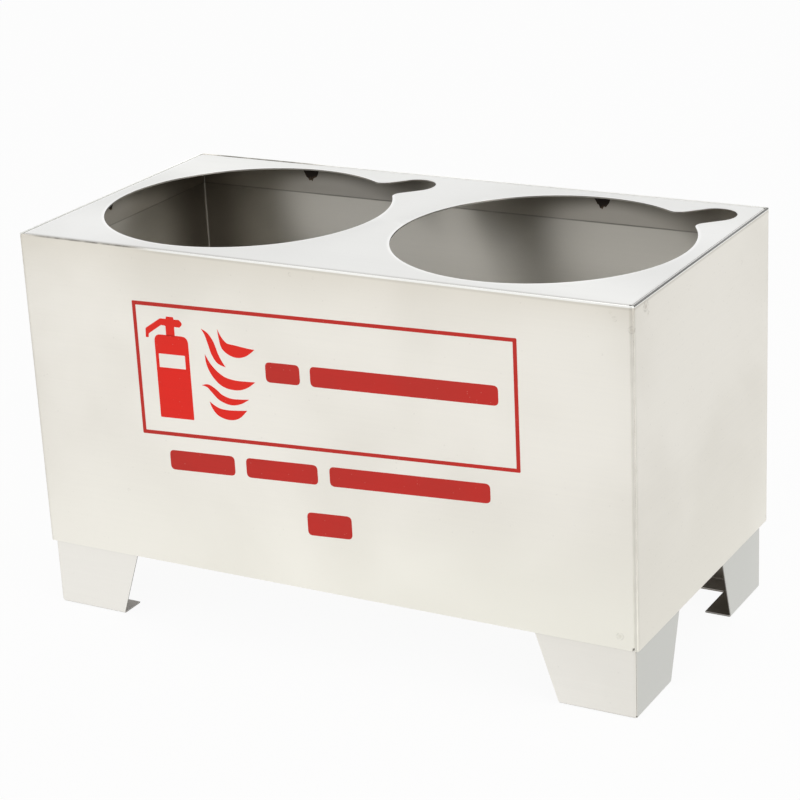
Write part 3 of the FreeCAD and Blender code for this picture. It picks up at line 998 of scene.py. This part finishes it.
# Studio: floor, surroundings and lamps. Each lamp has a place, a size in metres and a power.
FLOOR_REACH = 6.0
FLOOR_LEVEL = -0.0002
FLOOR_WHITE = 0.94
FLOOR_WHITE_MIRRORED = 0.95
WORLD_LIGHT = 0.62
LAMP_AIM = Vector((0, 0, 0.14))
LAMPS = [
    ("front_soft_lamp", (-1.5, -2.3, 1.9), 1.8, 9),
    ("right_soft_lamp", (2.3, -0.9, 1.2), 1.4, 16),
    ("top_soft_lamp", (0.0, 0.5, 2.6), 2.2, 2.5),
]


def seen_rays(tree, kinds):
    """1 for the named kinds of ray, else 0."""
    path = add(tree, "ShaderNodeLightPath")
    total = path.outputs[kinds[0]]
    for kind in kinds[1:]:
        total = calc(tree, "MAXIMUM", total, path.outputs[kind])
    return total


def make_floor():
    """A wide pale floor: white to the camera with the stand's soft shadow, clear from below."""
    mesh = bpy.data.meshes.new("studio_floor")
    work = bmesh.new()
    bmesh.ops.create_grid(work, x_segments=4, y_segments=4, size=FLOOR_REACH)
    work.to_mesh(mesh)
    work.free()
    floor = bpy.data.objects.new("studio_floor", mesh)
    floor.location.z = FLOOR_LEVEL
    bpy.context.scene.collection.objects.link(floor)
    material = bpy.data.materials.new("pale studio floor")
    material.use_nodes = True
    tree = material.node_tree
    tree.nodes.clear()
    matte = add(tree, "ShaderNodeBsdfDiffuse", {"Color": FLOOR_PALE}).outputs[0]
    glow = add(tree, "ShaderNodeEmission", {"Color": WHITE, "Strength": 1.0}).outputs[0]
    clear = add(tree, "ShaderNodeBsdfTransparent").outputs[0]
    straight = times(tree, seen_rays(tree, ["Is Camera Ray", "Is Transmission Ray"]), FLOOR_WHITE)
    mirrored = times(tree, seen_rays(tree, ["Is Glossy Ray"]), FLOOR_WHITE_MIRRORED)
    share = calc(tree, "MAXIMUM", straight, mirrored)
    lit = add(tree, "ShaderNodeMixShader", {0: share, 1: matte, 2: glow}).outputs[0]
    behind = add(tree, "ShaderNodeNewGeometry").outputs["Backfacing"]
    mixed = add(tree, "ShaderNodeMixShader", {0: behind, 1: lit, 2: clear}).outputs[0]
    add(tree, "ShaderNodeOutputMaterial", {"Surface": mixed})
    mesh.materials.append(material)


def make_world():
    """White studio surroundings, softer as light on the stand."""
    world = bpy.data.worlds.new("white studio")
    bpy.context.scene.world = world
    world.use_nodes = True
    tree = world.node_tree
    tree.nodes.clear()
    soft = add(tree, "ShaderNodeBackground", {"Color": WHITE, "Strength": WORLD_LIGHT}).outputs[0]
    white = add(tree, "ShaderNodeBackground", {"Color": WHITE, "Strength": 1.0}).outputs[0]
    share = seen_rays(tree, ["Is Camera Ray", "Is Glossy Ray", "Is Transmission Ray"])
    mixed = add(tree, "ShaderNodeMixShader", {0: share, 1: soft, 2: white}).outputs[0]
    add(tree, "ShaderNodeOutputWorld", {"Surface": mixed})


def make_lamps():
    """Soft light: a broad one from the front left, one from the right and a weak one above."""
    for name, place, size, power in LAMPS:
        data = bpy.data.lights.new(name, "AREA")
        data.shape = "SQUARE"
        data.size = size
        data.energy = power
        lamp = bpy.data.objects.new(name, data)
        lamp.location = place
        lamp.rotation_mode = "QUATERNION"
        lamp.rotation_quaternion = (LAMP_AIM - Vector(place)).to_track_quat("-Z", "Y")
        lamp.visible_camera = False
        bpy.context.scene.collection.objects.link(lamp)


def make_camera():
    """The camera at the photograph's place and tilt."""
    flat = math.cos(ELEVATION)
    back = Vector((math.sin(AZIMUTH) * flat, -math.cos(AZIMUTH) * flat, math.sin(ELEVATION)))
    right = Vector((math.cos(AZIMUTH), math.sin(AZIMUTH), 0))
    up = back.cross(right)
    rolled_right = right * math.cos(ROLL) + up * math.sin(ROLL)
    rolled_up = up * math.cos(ROLL) - right * math.sin(ROLL)
    data = bpy.data.cameras.new("photo camera")
    data.lens = LENS
    data.sensor_width = SENSOR_WIDTH
    data.clip_start = 0.05
    data.clip_end = 30
    camera = bpy.data.objects.new("photo_camera", data)
    camera.matrix_world = Matrix((rolled_right, rolled_up, back)).transposed().to_4x4()
    camera.location = EYE
    bpy.context.scene.collection.objects.link(camera)
    bpy.context.scene.camera = camera


def main():
    make_camera()
    materials = make_materials()
    dress("body_shell", materials["wall"])
    dress("top_plate", materials["top"])
    dress("base_plate", materials["base"])
    for corner in ("front_left", "front_right", "back_right", "back_left"):
        dress("leg_" + corner, materials["leg"])
    make_sign(materials)
    make_seam_bead(materials["wall"])
    make_scorches(materials["scorch"])
    make_floor()
    make_world()
    make_lamps()
    bpy.context.scene.view_settings.view_transform = "Standard"


main()
